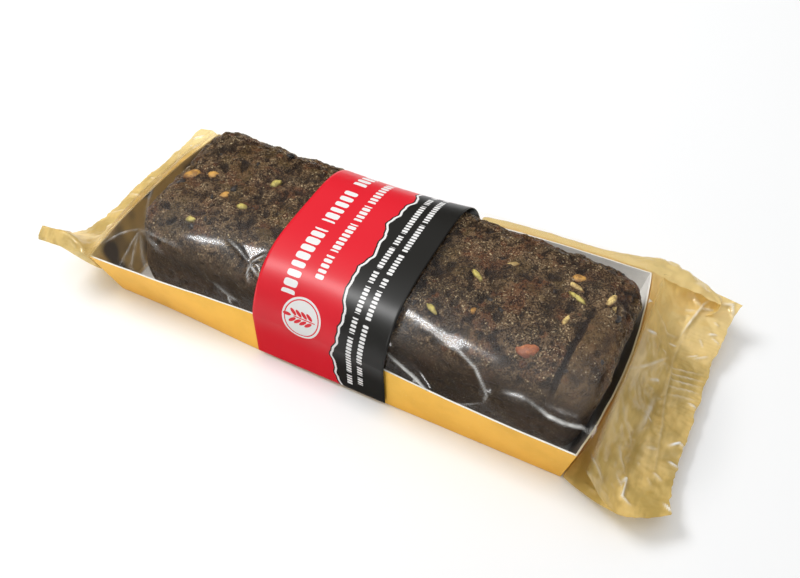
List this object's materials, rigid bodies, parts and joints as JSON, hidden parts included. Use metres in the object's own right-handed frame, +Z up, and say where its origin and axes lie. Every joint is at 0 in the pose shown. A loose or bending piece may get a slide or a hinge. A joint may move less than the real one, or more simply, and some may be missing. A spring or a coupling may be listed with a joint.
{
  "type": "packed fruit loaf",
  "caption": "Dark fruit and nut loaf standing in a shallow gold card tray, wrapped in a clear film bag with flat sealed ends, with a printed paper band over the middle.",
  "frame": {"origin": "middle of the tray's flat underside, which rests on the table", "axes": "+X along the loaf towards the wider sealed end, +Y from the front long wall to the back one, +Z up"},
  "size_m": [0.2486, 0.096, 0.0413],
  "materials": {
    "card": "satin gold outside, plain white inside",
    "crumb": "moist, coarse fruit crumb, stands in for food",
    "film": "thin glossy film, clear on top and gold-tinted at the ends",
    "print": "coated paper, red and near-black fields"
  },
  "bodies": {
    "root": {"card_tray": "card", "fruit_loaf": "crumb", "film_bag": "film", "paper_band": "print"}
  },
  "joints": []
}
